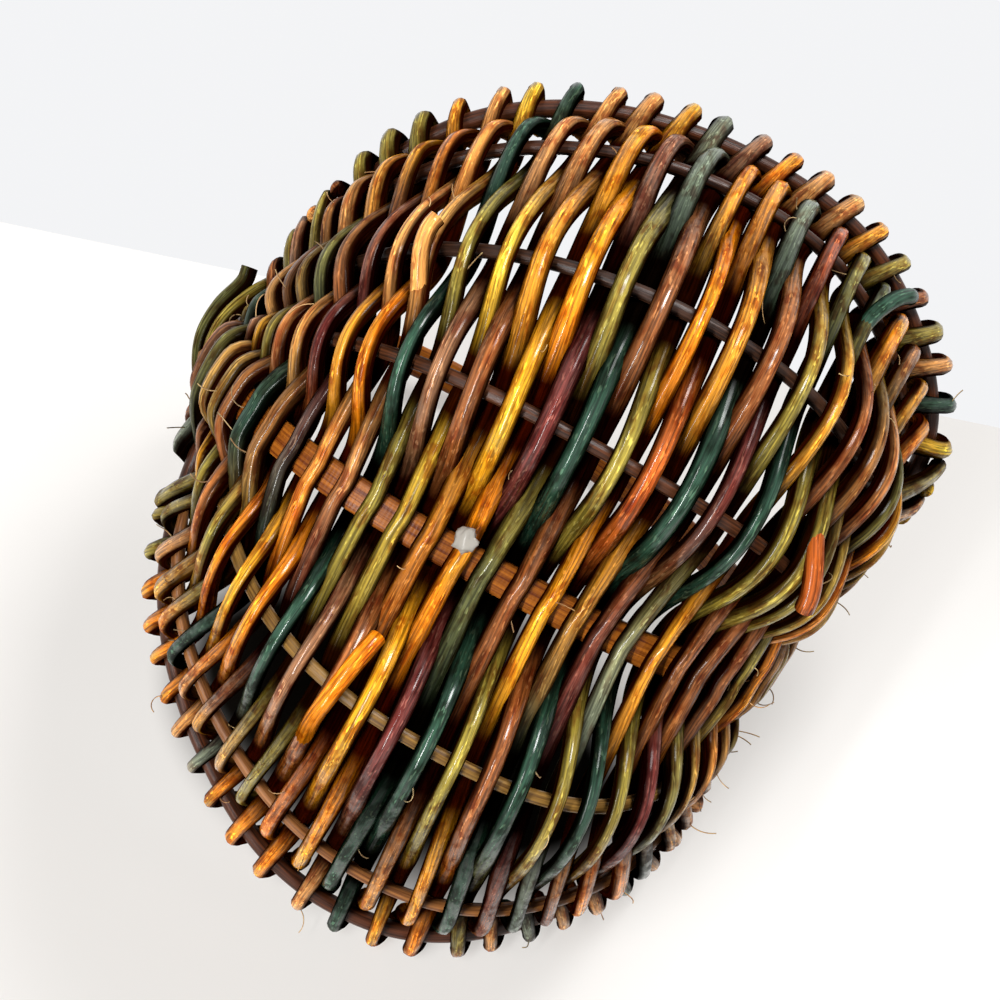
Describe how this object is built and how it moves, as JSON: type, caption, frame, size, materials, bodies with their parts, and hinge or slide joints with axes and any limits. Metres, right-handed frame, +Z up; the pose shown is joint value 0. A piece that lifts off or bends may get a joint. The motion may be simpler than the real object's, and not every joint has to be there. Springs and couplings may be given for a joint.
{
  "type": "buttocks basket",
  "caption": "Two-lobed ribbed basket of dyed round reed woven over and under ribs, between a round rim hoop and a flat handle hoop whose lower half is the keel.",
  "frame": {"origin": "middle of the bounding box at the base, on the surface that the basket stands on", "axes": "+Z up towards the handle, X along the keel and the handle, Y across the two lobes with +Y towards the lobe that has three ribs"},
  "size_m": [0.1922, 0.2522, 0.2073],
  "materials": {
    "rim": "stained and varnished, glossy",
    "band": "orange stained, varnished",
    "rib": "stained and varnished, glossy",
    "lashing": "varnished",
    "reed_olive": "dyed and varnished, glossy",
    "reed_ochre": "dyed and varnished, glossy",
    "reed_orange": "dyed and varnished, glossy",
    "reed_brown": "dyed and varnished, glossy",
    "reed_plum": "dyed and varnished, glossy",
    "reed_green": "dyed and varnished, glossy"
  },
  "bodies": {
    "root": {"rim_hoop": "rim", "handle_hoop": "band", "rib_wide_1": "rib", "rib_wide_2": "rib", "rib_wide_3": "rib", "rib_narrow_1": "rib", "rib_narrow_2": "rib", "lashing_1": "lashing", "lashing_2": "lashing", "weaver_01": "reed_olive", "weaver_02": "reed_brown", "weaver_03": "reed_green", "weaver_04": "reed_plum", "weaver_05": "reed_orange", "weaver_06": "reed_olive", "weaver_07": "reed_ochre", "weaver_08": "reed_green", "weaver_09": "reed_orange", "weaver_10": "reed_olive", "weaver_11": "reed_brown", "weaver_12": "reed_plum", "weaver_13": "reed_green", "weaver_14": "reed_orange", "weaver_15": "reed_brown", "weaver_16": "reed_green", "weaver_17": "reed_orange", "weaver_18": "reed_plum", "weaver_19": "reed_olive", "weaver_20": "reed_ochre", "weaver_21": "reed_brown", "weaver_22": "reed_orange", "weaver_23": "reed_green", "weaver_24": "reed_ochre", "weaver_25": "reed_olive", "weaver_26": "reed_green", "weaver_27": "reed_brown", "weaver_28": "reed_plum", "weaver_29": "reed_olive", "weaver_30": "reed_green"}
  },
  "joints": []
}
